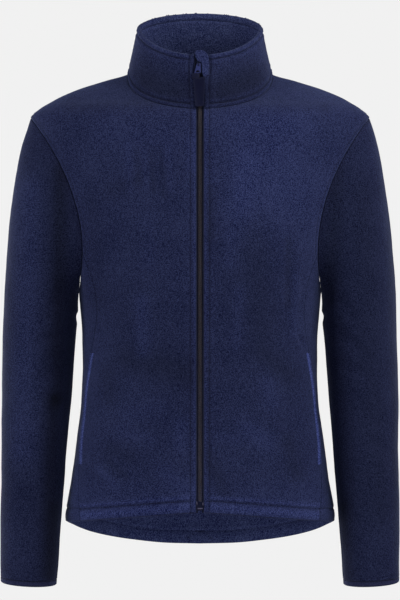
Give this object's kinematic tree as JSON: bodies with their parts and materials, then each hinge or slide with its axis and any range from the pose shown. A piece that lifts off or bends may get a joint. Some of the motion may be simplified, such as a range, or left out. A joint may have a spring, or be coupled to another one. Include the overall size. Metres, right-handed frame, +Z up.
{
  "type": "fleece zip jacket",
  "caption": "Fleece jacket with a stand collar, a full-length zip closed to the chin, set-in sleeves and hip pockets in the side seams, filled out as if worn.",
  "frame": {"origin": "the middle of the straight line between the shoulders, at the height of the neck points, where the wearer carries the jacket", "axes": "+Z up, -Y out of the chest, +X to the wearer's left"},
  "size_m": [0.5554, 0.2566, 0.8015],
  "materials": {
    "fleece": "matte fleece pile",
    "fleece_inner": "matte fleece pile",
    "binding": "close knit",
    "zip_tape": "woven tape",
    "zip_chain": "moulded nylon coil",
    "zip_metal": "blue-black painted die casting",
    "zip_rubber": "soft moulded rubber"
  },
  "bodies": {
    "jacket": {"back": "fleece_inner", "collar": "fleece", "cuff_binding_left": "binding", "cuff_binding_right": "binding", "front_left": "fleece", "front_right": "fleece", "pocket_welt_left": "fleece", "pocket_welt_right": "fleece", "sleeve_left": "fleece", "sleeve_right": "fleece", "zip_box": "zip_rubber", "zip_chain": "zip_chain", "zip_garage": "fleece", "zip_slider": "zip_metal", "zip_tape_left": "zip_tape", "zip_tape_right": "zip_tape"},
    "pull": {"zip_pull_bail": "zip_metal", "zip_pull_tag": "zip_rubber"}
  },
  "joints": [
    {"name": "zip_pull_swing", "type": "hinge", "parent": "jacket", "child": "pull", "pos_m": [-0.00214, -0.08822, 0.01249], "axis": [-1, 0, 0], "range_deg": [0, 150]}
  ]
}
